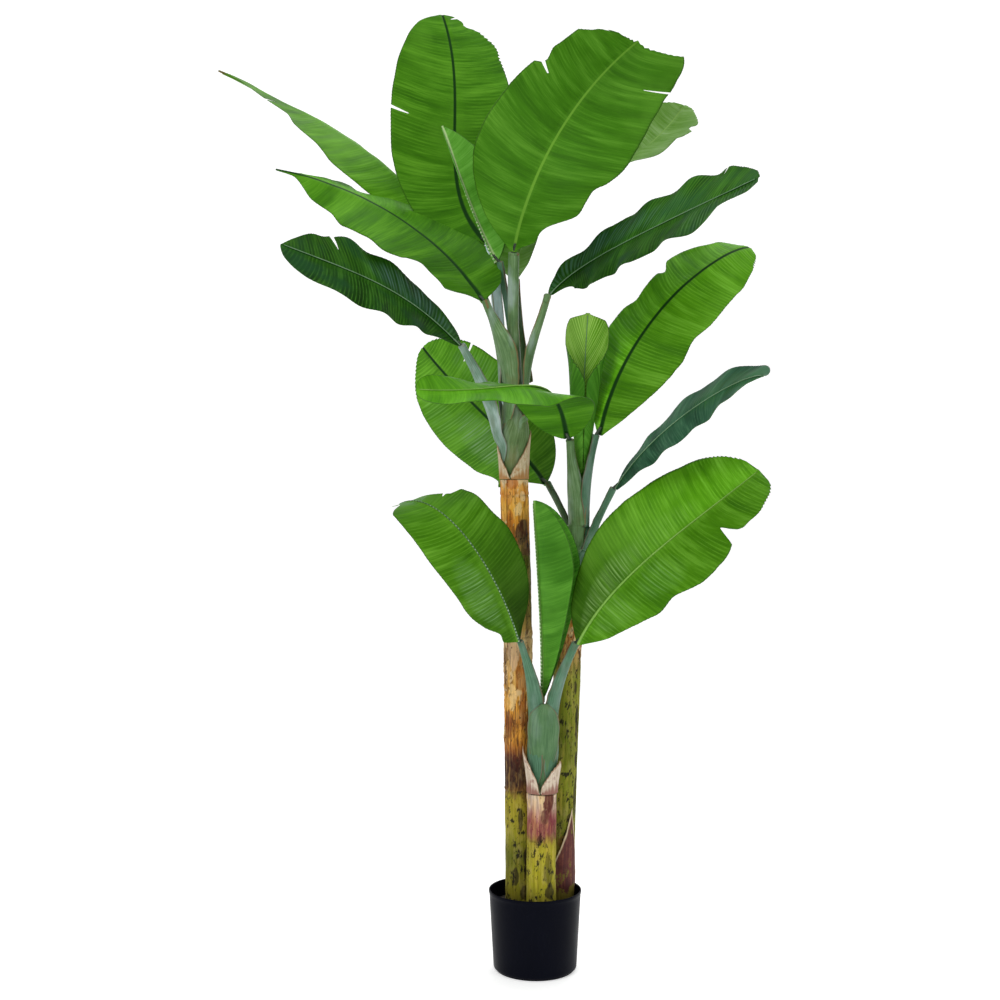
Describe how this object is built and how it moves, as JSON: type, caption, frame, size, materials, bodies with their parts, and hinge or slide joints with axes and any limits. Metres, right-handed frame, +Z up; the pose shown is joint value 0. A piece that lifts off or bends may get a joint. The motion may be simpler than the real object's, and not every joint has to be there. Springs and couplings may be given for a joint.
{
  "type": "artificial banana plant",
  "caption": "Artificial banana plant: leafy bark-wrapped stems of different heights standing in a plain round tapered nursery pot.",
  "frame": {"origin": "centre of the pot's flat underside, on the floor", "axes": "+Z up along the stems, +X to the right and +Y to the back as seen from the front of the plant"},
  "size_m": [1.0709, 0.5812, 1.8941],
  "materials": {
    "pot": "satin black moulded plastic",
    "pot_fill": "rough dark cast filling",
    "bark": "fibrous wrapped bark, yellow-green to rust and maroon",
    "bark_flap": "dry beige papery bark",
    "sheath": "satin grey-green leaf sheath",
    "stalk": "satin grey-green leaf stalk",
    "leaf": "satin bright green printed leaf",
    "leaf_dark": "glossy dark blue-green leaf",
    "leaf_young": "satin light green young leaf"
  },
  "bodies": {
    "root": {"middle_bark_flap": "bark_flap", "middle_bark_wrap": "bark_flap", "middle_crown": "sheath", "middle_leaf_1": "leaf", "middle_leaf_2": "leaf", "middle_leaf_3": "leaf", "middle_leaf_4": "leaf", "middle_leaf_5": "leaf_dark", "middle_stalk_1": "stalk", "middle_stalk_2": "stalk", "middle_stalk_4": "stalk", "middle_stalk_5": "stalk", "middle_stem": "bark", "pot": "pot", "pot_fill": "pot_fill", "short_bark_flap_left": "bark_flap", "short_bark_flap_right": "bark_flap", "short_crown": "sheath", "short_leaf_1": "leaf", "short_leaf_2": "leaf_young", "short_leaf_3": "leaf", "short_stalk_1": "stalk", "short_stalk_3": "stalk", "short_stem": "bark", "tall_bark_flap_left": "bark_flap", "tall_bark_flap_right": "bark_flap", "tall_crown": "sheath", "tall_leaf_1": "leaf", "tall_leaf_2": "leaf", "tall_leaf_3": "leaf", "tall_leaf_4": "leaf_young", "tall_leaf_5": "leaf_young", "tall_leaf_6": "leaf", "tall_leaf_7": "leaf_dark", "tall_leaf_8": "leaf_dark", "tall_stalk_1": "stalk", "tall_stalk_2": "stalk", "tall_stalk_3": "stalk", "tall_stalk_4": "stalk", "tall_stalk_5": "stalk", "tall_stalk_6": "stalk", "tall_stalk_7": "stalk", "tall_stalk_8": "stalk", "tall_stem": "bark"}
  },
  "joints": []
}
